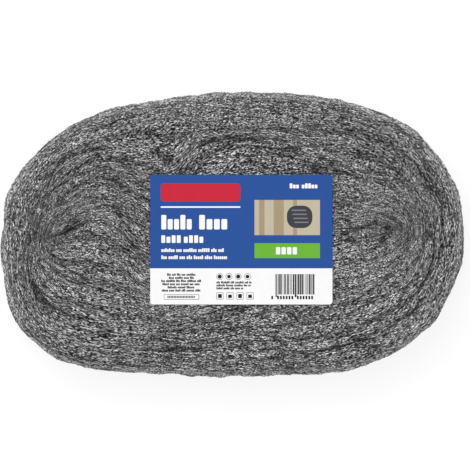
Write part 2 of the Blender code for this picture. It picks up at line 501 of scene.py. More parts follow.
@dataclass(frozen=True)
class FibreFinish:
    """The look of steel fibre: grey metal with painted glints and specks of shade in fine grains along the
    winding, and thin seams of painted shade.
    """

    dark: float = 0.008
    light: float = 0.6
    contrast: float = 1.0
    # The glint noise: fine grains along the winding that lighten and darken the tone, painted glints and specks
    # of shade among the fibres.
    grain_length: float = 1.4 * MM
    grain_width: float = 0.33 * MM
    grain_strength: float = 2.2
    grain_floor: float = 0.1
    brightest: float = 0.95
    lock_length: float = 42 * MM
    lock_width: float = 5 * MM
    lock_noise: float = 0.6
    lock_bend: float = 2.0
    # Painted shade in the thin seams between locks of fibre.
    seam_share: float = 0.1
    seam_shade: float = 0.7
    seam_starts: float = 0.4
    seam_full: float = 0.55
    roughness: float = 0.42
    metallic: float = 0.9

    def values(self) -> dict[str, float]:
        """Lists what the finish gives the shader group, by the names of the group's inputs."""
        own = {name: value for name, value in vars(self).items() if name not in ("roughness", "metallic")}
        return {name.replace("_", " ").title(): value for name, value in own.items()}

    def group(self) -> bpy.types.NodeTree:
        """Builds the shader group that turns a tone into the fibre's colour, or returns it if it is there."""
        name = "Fibre colour"
        if name in bpy.data.node_groups:
            return bpy.data.node_groups[name]
        tree = bpy.data.node_groups.new(name, "ShaderNodeTree")
        kinds = {"Tone": "Float", "Shade": "Float", "Flow": "Vector"} | dict.fromkeys(self.values(), "Float")
        for label, kind in kinds.items():
            tree.interface.new_socket(name=label, in_out="INPUT", socket_type=f"NodeSocket{kind}")
        tree.interface.new_socket(name="Color", in_out="OUTPUT", socket_type="NodeSocketColor")
        wiring = Wiring(tree)
        given = wiring.given()
        size = wiring.joined(given["Grain Length"], given["Grain Length"], given["Grain Width"])
        # Painted glints and shade: the glint noise lifts the tone well above and below its level in fine
        # grains.
        glints = wiring.noise(wiring.vector("DIVIDE", given["Flow"], size), detail=0.0)
        lift = (glints - 0.5) * (given["Grain Strength"] * NOISE_GAIN) + 1.0
        level = given["Tone"] ** given["Contrast"] * (given["Light"] - given["Dark"]) + given["Dark"]
        # The Shade input darkens the colour with the shade painted into the grooves and creases.
        level = level * lift.at_least(given["Grain Floor"]) * (1.0 - given["Shade"])
        level = (level * self.between_locks(wiring, given)).at_most(given["Brightest"])
        wiring.feed(wiring.add("NodeGroupOutput").inputs[0], wiring.joined(level, level, level))
        return tree

    def between_locks(self, wiring: Wiring, given: dict[str, Signal]) -> Signal:
        """Works out the thin seams of painted shade between long locks of fibre, which come and go along the
        winding.

        Args:
            wiring: The group's wiring.
            given: The group's inputs.

        Returns:
            What the colour is multiplied by: 1 on a lock, and less in a seam, where shade is painted.
        """
        size = wiring.joined(given["Lock Length"], given["Lock Length"], given["Lock Width"])
        place = wiring.vector("DIVIDE", given["Flow"], size)
        bent = wiring.noise(place, given["Lock Noise"], 1.0)
        cell = wiring.vector("ADD", place, wiring.joined(0.0, 0.0, bent * given["Lock Bend"]))
        edge = wiring.take("ShaderNodeTexVoronoi", {"Vector": cell, "Scale": 1.0}, feature="DISTANCE_TO_EDGE")
        seam = wiring.mapped(edge, 0.0, given["Seam Share"], 1.0, 0.0)
        shown = wiring.mapped(bent, given["Seam Starts"], given["Seam Full"])
        return 1.0 - seam * shown * given["Seam Shade"]

    def coloured(self, wiring: Wiring, tone: Signal) -> Signal:
        """Places the group in a material and returns its colour."""
        node = wiring.tree.nodes.new("ShaderNodeGroup")
        node.node_tree = self.group()
        given = {"Tone": tone, "Shade": wiring.painted(SHADE), "Flow": wiring.painted(FLOW, "Vector")}
        for name, value in (given | self.values()).items():
            wiring.feed(node.inputs[name], value)
        return Signal(wiring, node.outputs["Color"])

    def strand_material(self) -> bpy.types.Material:
        """Makes the material of the strands, which reads each strand's own tone."""
        material, wiring, shader = new_material("Steel fibre strands")
        wiring.feed(shader.inputs["Base Color"], self.coloured(wiring, wiring.painted(TONE)))
        shader.inputs["Metallic"].default_value = self.metallic
        shader.inputs["Roughness"].default_value = self.roughness
        return material


@dataclass(frozen=True)
class MatFinish:
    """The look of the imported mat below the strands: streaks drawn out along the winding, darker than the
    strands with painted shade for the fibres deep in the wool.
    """

    # Painted shade: the mat's fibre is kept darker than the strands, for the fibres deep in the wool, where
    # shade falls.
    fibre: FibreFinish = FibreFinish(dark=0.008, light=0.26, contrast=1.3)
    streak_length: float = 4 * MM
    streak_width: float = 0.5 * MM
    lock_length: float = 24 * MM
    lock_width: float = 2.4 * MM
    streak_starts: float = 0.32
    streak_full: float = 0.7
    lock_lift: float = 0.5
    bump: float = 0.4 * MM
    roughness: float = 0.6

    def streaks(self, wiring: Wiring, length: float, width: float) -> Signal:
        """Adds noise drawn out along the winding and returns it."""
        return wiring.noise(wiring.vector("DIVIDE", wiring.painted(FLOW, "Vector"), (length, length, width)))

    def material(self) -> bpy.types.Material:
        """Makes the body's material, which follows the winding through the body's flow attribute."""
        material, wiring, shader = new_material("Packed steel fibre")
        fine = self.streaks(wiring, self.streak_length, self.streak_width)
        locks = self.streaks(wiring, self.lock_length, self.lock_width)
        tone = wiring.mapped(fine, self.streak_starts, self.streak_full) * (locks + self.lock_lift)
        wiring.feed(shader.inputs["Base Color"], self.fibre.coloured(wiring, tone))
        relief = {"Height": fine + locks, "Distance": self.bump, "Strength": 1.0}
        wiring.feed(shader.inputs["Normal"], wiring.take("ShaderNodeBump", relief))
        shader.inputs["Metallic"].default_value = self.fibre.metallic
        shader.inputs["Roughness"].default_value = self.roughness
        return material


@dataclass(frozen=True)
class Streak:
    """A pattern of noise drawn out along the winding: how long and wide its features are, and its seed."""

    along: float
    across: float
    seed: float

    def at(self, flow: np.ndarray) -> np.ndarray:
        """Returns the noise, about -1 to 1, at coordinates that follow the winding."""
        x, y, z = np.moveaxis(flow, 2, 0)
        return noise_at(x / self.along, y / self.along, z / self.across + self.seed)


@dataclass
class Row:
    """One row of the body's grid: how far each column lies in from the edge, and its height."""

    inset: np.ndarray
    height: np.ndarray
    zone: Zone
    out: float = 0.0


@dataclass
class RollBody:
    """The roll's body: the turns, the grooves between them and the folds pressed into the top."""

    low: Vector
    high: Vector
    label_low: Vector
    label_high: Vector
    winding: Winding = field(default_factory=Winding)
    finish: MatFinish = field(default_factory=MatFinish)
    drag: Drag = field(default_factory=Drag)
    columns: int = 560
    top_rows: int = 78
    shoulder_rows: int = 12
    side_rows: int = 22
    base_shoulder_rows: int = 7
    base_rows: int = 13
    barrel: float = 2.5 * MM
    top_shoulder: float = 13 * MM
    base_shoulder: float = 9 * MM
    sag: float = 3 * MM
    sag_reach: float = 40 * MM
    slit_depth: float = 5 * MM
    slit_lip: float = 0.8 * MM
    slit_left_opening: tuple[float, float] = (4.8 * MM, 12 * MM)
    slit_right_opening: tuple[float, float] = (2.4 * MM, 6 * MM)
    slit_bridged: float = 0.1
    groove_width: float = 1.1 * MM
    groove_depth: float = 2.3 * MM
    base_groove_depth: float = 1.5 * MM
    groove_variation: float = 0.4
    groove_wave_turns: float = 0.29
    groove_fade: float = 0.1
    groove_start: tuple[float, float] = (0.1, 0.5)
    groove_noise_length: float = 45 * MM
    groove_noise_step: float = 1.7
    groove_noise_seed: float = 3.3
    groove_mean: float = 0.95
    groove_sway: float = 0.9
    groove_range: tuple[float, float] = (0.5, 1.4)
    crown_drop: float = 0.8 * MM
    crown_power: int = 4
    side_hollow: float = 1.6 * MM
    side_hollow_pitch: float = 20 * MM
    top_hollow: float = 1.2 * MM
    top_hollow_pitch_turns: float = 2.3
    lock_height: float = 0.6 * MM
    lock_streak: Streak = Streak(19 * MM, 2.6 * MM, 23.9)
    small_lock_share: float = 0.5
    small_lock_streak: Streak = Streak(9 * MM, 1.3 * MM, 37.1)
    base_lock_share: float = 0.5
    swell_height: float = 0.45 * MM
    swell_streak: Streak = Streak(34 * MM, 10 * MM, 11.3)
    rim_lump: float = 1.6 * MM
    rim_streak: Streak = Streak(12 * MM, 22 * MM, 51.7)
    wander: float = 2.6 * MM
    wander_streak: Streak = Streak(55 * MM, 15 * MM, 1.7)
    settle: float = 0.5 * MM
    label_gap: float = 0.7 * MM
    label_slope: float = 0.22
    girth: float = 700 * MM
    least_speed: float = 0.25
    least_span: float = 0.03
    slit_strip: float = 0.03
    strip_margin: float = 0.01
    strip_use: tuple[float, float] = (0.1, 0.7)
    fold_ends: tuple[float, float] = (0.04, 0.96)
    fold_taper: float = 0.5
    crease_streak: Streak = Streak(7 * MM, 4 * MM, 83.1)
    crease_mean: float = 0.85
    crease_sway: float = 1.4
    crease_least: float = 0.35
    # Painted shade: how dark the grooves and creases are painted, and the most of it.
    groove_shade: float = 0.25
    crease_shade: float = 0.88
    base_groove_shade: float = 0.35
    darkest: float = 0.9
    folds: tuple[Fold, ...] = (
        Fold(((-116, -6.5), (-109, 0.5), (-103, 4.5), (-95, 6.8)), 0.9 * MM, 4.5 * MM),
        Fold(((103, 6.5), (100.5, 0), (97, -5), (93, -9.5), (85, -11)), 0.9 * MM, 3.2 * MM),
        Fold(((65, -1.6), (80, 2.3), (91, 6.8), (101, 7.5)), 0.8 * MM, 2.2 * MM),
        Fold(((-95, -24.4), (-88.7, -23), (-84, -20.5), (-79, -21)), 0.9 * MM, 2.4 * MM),
        Fold(((-68, -3), (-62, -9), (-56, -14.6)), 0.9 * MM, 2 * MM),
        Fold(((-124, 18.5), (-121, 21.5), (-118, 24.4)), 0.8 * MM, 1.4 * MM),
        Fold(((-82, 37), (-74, 34), (-66, 27)), 1 * MM, 1.6 * MM),
        Fold(((-49, 56), (-43.5, 50), (-36.8, 45.5)), 1.8 * MM, 2.4 * MM),
        Fold(((-33, 44), (-28.5, 53), (-20, 59.5), (-7, 62.5), (10, 62), (26, 59)), 0.8 * MM, 1.8 * MM),
        Fold(((-27, 44), (-22, 50.5), (-14, 55.5)), 0.6 * MM, 1.2 * MM),
        Fold(((-68.6, 66), (-50, 65), (-40, 61.5), (-30, 64)), 1 * MM, 2 * MM),
        Fold(((-21, 47), (-8, 54), (11.4, 57), (34, 53), (55, 46.5)), 1.8 * MM, -0.9 * MM),
        Fold(((-60, -73), (-38, -75), (-16.6, -74), (4, -70)), 1 * MM, 2 * MM),
        Fold(((56, -76), (78, -71), (97, -64)), 1.1 * MM, 3 * MM),
        Fold(((95, -65), (103, -60.5), (115.5, -53), (122, -45), (130, -34)), 1.2 * MM, 3.4 * MM),
        Fold(((132, -28), (135.5, -8), (137, 16.5), (130, 33)), 1.1 * MM, 3 * MM),
        Fold(((66, -47), (84, -41), (98, -30), (108, -19), (115.5, -8)), 0.6 * MM, 1.6 * MM),
        Fold(((129, 2), (130.5, -12), (128, -24), (120.5, -37), (110, -47)), 0.6 * MM, 2 * MM),
        Fold(((-124, 18.5), (-116.5, 29), (-103.5, 37.5), (-89, 43)), 0.6 * MM, 1.6 * MM),
        Fold(((-130, 36), (-115, 46.5), (-93, 55), (-80, 56)), 0.7 * MM, 1.8 * MM),
    )

    def __post_init__(self) -> None:
        """Works out the outline, the slit and the run from one to the other in each column."""
        self.angles = self.winding.angles(self.columns)
        self.around = np.arange(self.columns) / self.columns
        self.rim = self.winding.outline(self.angles)
        run = self.winding.slit(self.angles) - self.rim
        length = np.linalg.norm(run, axis=1)
        self.reach = length - self.barrel
        self.inward = run / length[:, None]
        self.rows = self.list_rows()
        self.zones = [row.zone for row in self.rows]
        self.inset = np.stack([row.inset for row in self.rows])
        self.turns_out = self.count_turns(self.inset)

    def count_turns(self, inset: np.ndarray) -> np.ndarray:
        """Returns how many turns out from the slit each place lies.

        Args:
            inset: How far in from the edge it lies.

        Returns:
            The turns, from 0 at the slit to the number of turns at the edge.
        """
        outer_turn = self.winding.outer_turn
        deep = (self.winding.turns - 1) * (1 - (inset - outer_turn) / (self.reach - outer_turn))
        return np.where(inset < outer_turn, self.winding.turns - inset / outer_turn, deep)

    def list_rows(self) -> list[Row]:
        """Lists the grid's rows, from the bottom of the slit over the top and the side to the base."""
        made = []
        full = np.ones(self.columns)
        slit_x = self.winding.slit(self.angles)[:, 0]
        closed = ramp(slit_x - self.winding.slit_left, *self.slit_left_opening)
        closed = closed * ramp(self.winding.slit_right - slit_x, *self.slit_right_opening)
        depth = self.slit_depth * (1 - (1 - self.slit_bridged) * closed)
        for step in range(self.top_rows):
            inset = self.reach + (self.top_shoulder - self.reach) * step / self.top_rows
            lip = 1 - ramp(self.reach - inset, 0, self.slit_lip)
            sag = self.sag * np.clip(1 - inset / self.sag_reach, 0, None) ** 2
            height = self.high.z - depth * lip - sag * (1 - lip)
            made.append(Row(inset, height, Zone.TOP))
        for step in range(self.shoulder_rows):
            turn = math.pi / 2 * step / self.shoulder_rows
            inset = self.top_shoulder * (1 - math.sin(turn)) * full
            sag = self.sag * (1 - inset / self.sag_reach) ** 2
            drop = self.top_shoulder * (1 - math.cos(turn))
            made.append(Row(inset, self.high.z - drop - sag, Zone.TOP))
        upper = self.high.z - self.top_shoulder - self.sag
        lower = self.low.z + self.base_shoulder
        for step in range(self.side_rows + 1):
            share = step / self.side_rows
            out = self.barrel * math.sin(math.pi * share)
            made.append(Row(0 * full, (upper + (lower - upper) * share) * full, Zone.SIDE, out))
        for step in range(1, self.base_shoulder_rows + 1):
            turn = math.pi / 2 * (1 - step / self.base_shoulder_rows)
            inset = self.base_shoulder * (1 - math.sin(turn)) * full
            rise = self.base_shoulder * (1 - math.cos(turn))
            made.append(Row(inset, (self.low.z + rise) * full, Zone.BASE))
        for step in range(1, self.base_rows + 1):
            inset = self.base_shoulder + (self.reach - self.base_shoulder) * step / self.base_rows
            zone = Zone.BASE if step < self.base_rows else Zone.HIDDEN
            made.append(Row(inset, self.low.z * full, zone))
        return made

    def shell(self) -> np.ndarray:
        """Works out the body without relief: one x, y, z for each row and column."""
        tail = self.winding.tail(self.angles)
        outer = np.clip(self.turns_out - (self.winding.turns - 1), 0, 1)
        out = np.array([row.out for row in self.rows])[:, None]
        inset = self.barrel + self.inset - out - outer * tail
        flat = self.rim + self.inward * inset[..., None]
        flat[: self.top_rows, :, 1] += self.drag.shift(*np.moveaxis(flat[: self.top_rows], 2, 0))
        return np.concatenate([flat, np.stack([row.height for row in self.rows])[..., None]], axis=2)

    def spans(self, places: np.ndarray) -> tuple[np.ndarray, np.ndarray]:
        """Works out the steps from each grid point to its neighbours.

        Args:
            places: The grid's points.

        Returns:
            The steps for one column round and for one row on.
        """
        round_step = (np.roll(places, -1, axis=1) - np.roll(places, 1, axis=1)) / 2
        row_step = np.gradient(places, axis=0)
        return round_step, row_step

    def normals(self, places: np.ndarray) -> np.ndarray:
        """Returns the outward direction at each grid point."""
        round_step, row_step = self.spans(places)
        out = np.cross(row_step, round_step)
        return out / np.maximum(np.linalg.norm(out, axis=2), TINY)[..., None]

    def flow(self, shell: np.ndarray) -> np.ndarray:
        """Works out coordinates that follow the winding: round the roll on a circle, and across its turns.

        Args:
            shell: The body without relief.

        Returns:
            Three lengths for each grid point. The first two close on themselves all the way round.
        """
        step = np.linalg.norm(np.diff(shell, axis=0), axis=2).mean(axis=1)
        across = np.concatenate([[0], np.cumsum(step)])[:, None]
        radius = self.girth / math.tau
        x = np.broadcast_to(radius * np.cos(self.angles), self.inset.shape)
        y = np.broadcast_to(radius * np.sin(self.angles), self.inset.shape)
        return np.stack([x, y, np.broadcast_to(across, x.shape)], axis=2)

    def grooves(self, flow: np.ndarray) -> tuple[np.ndarray, np.ndarray]:
        """Works out the grooves between the turns.

        Args:
            flow: The coordinates that follow the winding.

        Returns:
            How strong a groove is at each place, and how far off the middle of its turn the place lies.
        """
        winding = self.winding
        path = self.turns_out + self.around
        groove = np.round(path)
        inner_pitch = (self.reach - winding.outer_turn) / (winding.turns - 1)
        pitch = np.where(self.turns_out > winding.turns - 1, winding.outer_turn, inner_pitch)
        at = groove - self.around
        fade = np.clip((winding.turns - 1 - at) / self.groove_fade, 0, 1) * ramp(at, *self.groove_start)
        regular = 1 - self.groove_variation * (1 - np.sin(math.tau * at / self.groove_wave_turns))
        x, y = np.moveaxis(flow[..., :2], 2, 0) / self.groove_noise_length
        wave = noise_at(x, y, at * self.groove_noise_step + self.groove_noise_seed)
        strength = regular * np.clip(self.groove_mean + self.groove_sway * wave, *self.groove_range) * fade
        return strength * bell((path - groove) * pitch, self.groove_width), 2 * np.abs(path - groove)

    def folded(self, places: np.ndarray) -> tuple[np.ndarray, np.ndarray]:
        """Works out how the folds press the top in.

        Args:
            places: The grid's points.

        Returns:
            The depth at each place, and how much of a crease it is.
        """
        flat = places[..., :2]
        depth = np.zeros(flat.shape[:2])
        crease = np.zeros(flat.shape[:2])
        for fold in self.folds:
            nearest = np.full(flat.shape[:2], np.inf)
            share_along = np.zeros(flat.shape[:2])
            line = np.array(fold.points) * MM
            for at, (start, end) in enumerate(zip(line, line[1:])):
                run = end - start
                share = np.clip(((flat - start) @ run) / (run @ run), 0, 1)
                away = np.linalg.norm(flat - start - share[..., None] * run, axis=2)
                share_along = np.where(away < nearest, (at + share) / (len(line) - 1), share_along)
                nearest = np.minimum(nearest, away)
            ends = np.sin(np.clip(share_along, *self.fold_ends) * math.pi) ** self.fold_taper
            press = bell(nearest, fold.width) * ends
            depth += fold.depth * press
            crease = np.maximum(crease, press * (fold.depth > 0))
        return depth, crease

    def relief(self, shell: np.ndarray, flow: np.ndarray) -> tuple[np.ndarray, np.ndarray]:
        """Works out the relief on the whole body.

        Args:
            shell: The body without relief.
            flow: The coordinates that follow the winding.

        Returns:
            How far each place stands out, and how much shade is painted into it in the grooves and creases.
        """
        zone = np.array([row.zone.value for row in self.rows])[:, None]
        top = zone == Zone.TOP.value
        side = zone == Zone.SIDE.value
        base = ~top & ~side
        warp = self.wander * self.wander_streak.at(flow)
        bent = flow + np.stack([np.zeros_like(warp), np.zeros_like(warp), warp], axis=2)
        swell = self.swell_streak.at(bent)
        locks = self.lock_streak.at(bent) + self.small_lock_share * self.small_lock_streak.at(bent)
        groove, off_crown = self.grooves(flow)
        depth, crease = self.folded(shell)
        uneven = self.crease_mean + self.crease_sway * self.crease_streak.at(bent)
        crease = crease * np.clip(uneven, self.crease_least, 1)
        crown = self.crown_drop * off_crown**self.crown_power
        top_hollow = self.winding.hollow(self.around, self.turns_out / self.top_hollow_pitch_turns)
        top_hollow = self.top_hollow * np.clip(self.inset / self.top_shoulder, 0, 1) * top_hollow
        side_hollow = self.winding.hollow(self.around, shell[..., 2] / self.side_hollow_pitch)
        out = np.array([row.out for row in self.rows])[:, None]
        side_hollow = self.side_hollow * out / self.barrel * side_hollow
        fine = self.swell_height * swell + self.lock_height * locks
        edge = self.rim_lump * ramp(self.top_shoulder - self.inset, 0, self.top_shoulder) * ~base
        fine = fine + edge * self.rim_streak.at(flow)
        on_top = fine - self.groove_depth * groove - crown - depth - top_hollow
        on_side = fine - side_hollow
        on_base = -self.base_groove_depth * groove - self.lock_height * np.abs(locks) * self.base_lock_share
        height = np.where(base, on_base, np.where(top, on_top, on_side) - self.settle)
        # Painted shade: the grooves and creases are darkened in the colour, for the shade that falls into them.
        on_top_dark = np.maximum(self.groove_shade * groove, self.crease_shade * crease)
        dark = np.where(top, on_top_dark, self.base_groove_shade * groove * base)
        return height, np.clip(dark, 0, self.darkest)

    def pressed(self, places: np.ndarray) -> np.ndarray:
        """Returns the grid's points with the wool pressed down below the label and up from the floor."""
        x, y, z = np.moveaxis(places, 2, 0)
        outside = np.maximum.reduce(
            [self.label_low.x - x, x - self.label_high.x, self.label_low.y - y, y - self.label_high.y]
        )
        limit = self.label_low.z - self.label_gap + self.label_slope * np.clip(outside, 0, None)
        settled = np.clip(np.minimum(z, limit), self.low.z, None)
        return np.stack([x, y, settled], axis=2)

    def fill_slit(self, ring: range, places: np.ndarray, upwards: bool) -> list[tuple[int, ...]]:
        """Fills the bottom of the slit with triangles.

        Args:
            ring: The rim's vertices in order.
            places: All the grid's points.
            upwards: Whether the filling faces up.

        Returns:
            The triangles.
        """
        flat = [Vector((*places[at, :2], 0)) for at in ring]
        made = []
        for corners in geometry.tessellate_polygon([flat]):
            a, b, c = (flat[corner] for corner in corners)
            turn = (b - a).cross(c - a).z > 0
            made.append(tuple(ring[corner] for corner in (corners if turn == upwards else corners[::-1])))
        return made

    def build(self) -> bpy.types.Object:
        """Builds the body as one closed mesh, with the attributes that strands and finish follow."""
        shell = self.shell()
        flow = self.flow(shell)
        height, shade = self.relief(shell, flow)
        out = self.normals(shell)
        out[: self.top_rows] = (0, 0, 1)
        places = self.pressed(shell + out * height[..., None])
        count = len(self.rows)
        rows, columns = np.meshgrid(np.arange(count - 1), np.arange(self.columns), indexing="ij")
        nexts = (columns + 1) % self.columns
        corners = [rows * self.columns + columns, (rows + 1) * self.columns + columns]
        corners += [(rows + 1) * self.columns + nexts, rows * self.columns + nexts]
        faces = np.stack(corners, axis=2).reshape(-1, 4)
        points = places.reshape(-1, 3)
        last = (count - 1) * self.columns
        top_fill = self.fill_slit(range(self.columns), points, True)
        base_fill = self.fill_slit(range(last, last + self.columns), points, False)
        mesh = bpy.data.meshes.new("wool_body")
        mesh.from_pydata(points.tolist(), [], faces.tolist() + top_fill + base_fill)
        self.map_faces(mesh, rows, columns, [top_fill, base_fill])
        zone = np.repeat([row.zone.value for row in self.rows[:-1]], self.columns)
        zone = np.concatenate([zone, np.full(len(top_fill) + len(base_fill), Zone.HIDDEN.value)])
        mesh.attributes.new("Zone", "INT", "FACE").data.foreach_set("value", zone.astype(np.int32))
        round_step, row_step = self.spans(shell)
        speed = np.linalg.norm(round_step, axis=2) * self.columns
        span = np.linalg.norm(row_step, axis=2) * (count - 1) / (1 - self.slit_strip)
        for name, values in (
            ("Speed", np.maximum(speed, self.least_speed)),
            ("Span", np.maximum(span, self.least_span)),
            (SHADE, shade),
        ):
            data = mesh.attributes.new(name, "FLOAT", "POINT").data
            data.foreach_set("value", values.ravel().astype(np.float32))
        for name, values in (("Out", self.normals(places)), (FLOW, flow)):
            data = mesh.attributes.new(name, "FLOAT_VECTOR", "POINT").data
            data.foreach_set("vector", values.ravel().astype(np.float32))
        mesh.shade_smooth()
        mesh.materials.append(self.finish.material())
        return new_object("wool_body", mesh)

    def map_faces(
        self, mesh: bpy.types.Mesh, rows: np.ndarray, columns: np.ndarray, fills: Sequence[list]
    ) -> None:
        """Unrolls the grid onto a map: round the roll from left to right, and the rows from bottom to top.

        Args:
            mesh: The body's mesh.
            rows: The first row of each face.
            columns: The first column of each face.
            fills: The triangles at the bottom of the slit, above and below, which share the lowest strip.
        """
        across = np.stack([columns, columns, columns + 1, columns + 1], axis=2) / self.columns
        along = np.stack([rows, rows + 1, rows + 1, rows], axis=2) / (len(self.rows) - 1)
        grid = np.stack([across, self.slit_strip + (1 - self.slit_strip) * along], axis=3).reshape(-1, 2)
        parts = [grid]
        span = self.winding.slit_right - self.winding.slit_left
        wide = 1 / len(fills) - 2 * self.strip_margin
        lowest, used = self.strip_use
        for at, fill in enumerate(fills):
            places = np.array([mesh.vertices[corner].co for corners in fill for corner in corners])
            x = np.clip((places[:, 0] - self.winding.slit_left) / span, 0, 1)
            y = (places[:, 1] - places[:, 1].min()) / np.ptp(places[:, 1])
            x = self.strip_margin + wide * x + at / len(fills)
            parts.append(np.stack([x, self.slit_strip * (lowest + used * y)], axis=1))
        layer = mesh.uv_layers.new(name=BAKE_MAP)
        layer.data.foreach_set("uv", np.concatenate(parts).ravel().astype(np.float32))


@dataclass(frozen=True)
class Lie:
    """How strands lie: their height above the body, their tilt, how they stray, and how light they are."""

    height: tuple[float, float]
    tilt: float
    drift: float
    tone: tuple[float, float]
    dive: float = 0.2 * MM
    bend: float = 1.5 * MM


@dataclass(frozen=True)
class Coat:
    """One coat of strands: the zone it lies on, the strands' length and radius, and how they lie."""

    name: str
    zone: Zone
    seed: int
    length: tuple[float, float]
    radius: tuple[float, float]
    lie: Lie
    count: int = 13800


@dataclass
class StrandLayer:
    """Lays strands of fibre along the winding with geometry nodes."""

    carrier: bpy.types.Mesh
    label_low: Vector
    label_high: Vector
    low: float
    material: bpy.types.Material
    points: int = 3
    sides: int = 3
    least_row: float = 0.031
    greatest_row: float = 0.999
    clearance: float = 0.55 * MM
    slope: float = 0.25
    part_share: float = 0.5
    taper: float = 2.4
    tip_sink: float = 0.5 * MM
    tip_power: float = 3.0
    swing: tuple[float, float] = (0.5, 1.0)
    cell_margin: float = 0.06
    cap_room: float = 0.1

    def tree(self, values: dict[str, object]) -> bpy.types.GeometryNodeTree:
        """Builds the geometry tree, or returns it if it is there.

        Args:
            values: What a coat gives the tree. Each value's name and type become one of the tree's inputs.

        Returns:
            The tree.
        """
        name = "Strands along the winding"
        if name in bpy.data.node_groups:
            return bpy.data.node_groups[name]
        tree = bpy.data.node_groups.new(name, "GeometryNodeTree")
        tree.is_modifier = True
        tree.interface.new_socket(name="Geometry", in_out="INPUT", socket_type="NodeSocketGeometry")
        for label, value in values.items():
            kind = type(value).__name__.title()
            tree.interface.new_socket(name=label, in_out="INPUT", socket_type=f"NodeSocket{kind}")
        tree.interface.new_socket(name="Geometry", in_out="OUTPUT", socket_type="NodeSocketGeometry")
        wiring = Wiring(tree)
        given = wiring.given()
        index = wiring.take("GeometryNodeInputIndex")
        strand = wiring.math("FLOOR", (index + 0.5) / self.points)
        step = index - strand * self.points
        share = step * (1 / (self.points - 1)) - 0.5
        place, flow = self.placed(wiring, given, index, strand, step, share)
        drawn = wiring.stored(self.scattered(wiring, given), FLOW, flow, "FLOAT_VECTOR")
        moved = wiring.take("GeometryNodeSetPosition", {"Geometry": drawn, "Position": place})
        seed, tones = given["Seed"], (given["Darkest"], given["Lightest"])
        whole = wiring.random(*tones, strand, seed, Draw.WHOLE_TONE)
        # The tone changes from point to point along each strand too: random tone, and painted glints of the
        # crinkled fibre.
        part = wiring.random(*tones, index, seed, Draw.PART_TONE)
        toned = wiring.stored(moved, TONE, whole * (1 - self.part_share) + part * self.part_share)
        thick = wiring.random(given["Thinnest"], given["Thickest"], strand, seed, Draw.THICKNESS)
        thick = thick * (1.0 - share * share * self.taper)
        profile = wiring.take("GeometryNodeCurvePrimitiveCircle", {"Resolution": self.sides, "Radius": 1.0})
        swept = {"Curve": toned, "Profile Curve": profile, "Scale": thick, "Fill Caps": True}
        tube = wiring.take("GeometryNodeCurveToMesh", swept)
        smooth = wiring.take("GeometryNodeSetShadeSmooth", {"Geometry": tube, "Shade Smooth": True})
        real = wiring.take("GeometryNodeRealizeInstances", {"Geometry": smooth})
        dressed = wiring.take("GeometryNodeSetMaterial", {"Geometry": real, "Material": given["Material"]})
        wiring.feed(wiring.add("NodeGroupOutput").inputs[0], dressed)
        return tree

    def scattered(self, wiring: Wiring, given: dict[str, Signal]) -> Signal:
        """Scatters points on the zone and puts a straight line of a few points on each.

        Args:
            wiring: The tree's wiring.
            given: The tree's inputs.

        Returns:
            The lines as real curves, which carry the body's attributes.
        """
        pair = {"A_INT": wiring.attribute("Zone", "INT"), "B_INT": given["Zone"]}
        inside = wiring.take("FunctionNodeCompare", pair, data_type="INT", operation="EQUAL")
        spread = {"Mesh": given["Geometry"], "Selection": inside}
        spread |= {name: given[name] for name in ("Density", "Seed")}
        points = wiring.take("GeometryNodeDistributePointsOnFaces", spread)
        line = wiring.take("GeometryNodeCurvePrimitiveLine")
        cut = wiring.take("GeometryNodeResampleCurve", {"Curve": line, "Count": self.points})
        laid = wiring.take("GeometryNodeInstanceOnPoints", {"Points": points, "Instance": cut})
        return wiring.take("GeometryNodeRealizeInstances", {"Geometry": laid})

    def placed(
        self,
        wiring: Wiring,
        given: dict[str, Signal],
        index: Signal,
        strand: Signal,
        step: Signal,
        share: Signal,
    ) -> tuple[Signal, Signal]:
        """Works out where each point of each strand goes.

        Args:
            wiring: The tree's wiring.
            given: The tree's inputs.
            index: The point's number among all points.
            strand: The strand's number.
            step: The point's number in its strand.
            share: How far along its strand the point is, from -0.5 to 0.5.

        Returns:
            The point's place, and its place along the winding.
        """
        seed = given["Seed"]
        run = share * wiring.random(given["Shortest"], given["Longest"], strand, seed, Draw.LENGTH)
        tilt = wiring.either_way(given["Tilt"], strand, seed, Draw.TILT)
        bend = wiring.either_way(given["Bend"], strand, seed, Draw.BEND)
        drift = wiring.either_way(given["Drift"], index, seed, Draw.DRIFT)
        aside = share * share * bend + (run * tilt + drift)
        unrolled = wiring.attribute(BAKE_MAP, "FLOAT_VECTOR")
        start = wiring.split(unrolled)
        column = wiring.math("FRACT", start[0] + run / wiring.attribute("Speed"))
        row = start[1] + aside / wiring.attribute("Span")
        row = row.at_least(self.least_row).at_most(self.greatest_row)
        sample = {
            "Mesh": given["Geometry"],
            "Source UV Map": unrolled,
            "Sample UV": wiring.joined(column, row, 0.0),
        }
        found = []
        for value in (
            wiring.take("GeometryNodeInputPosition"),
            wiring.attribute("Out", "FLOAT_VECTOR"),
            wiring.attribute(FLOW, "FLOAT_VECTOR"),
        ):
            inputs = sample | {"Value": value}
            found.append(wiring.take("GeometryNodeSampleUVSurface", inputs, data_type="FLOAT_VECTOR"))
        body, out, flow = found
        base = wiring.random(given["Lowest"], given["Highest"], strand, seed, Draw.HEIGHT)
        side = wiring.math("MODULO", step + strand, 2.0) * 2.0 - 1.0
        weave = side * wiring.random(*self.swing, index, seed, Draw.SWING) * given["Dive"]
        sink = (wiring.math("ABSOLUTE", share) * 2.0) ** self.tip_power * self.tip_sink
        place = wiring.vector("ADD", body, wiring.vector("SCALE", out, base + weave - sink))
        return self.kept_clear(wiring, given, place), flow

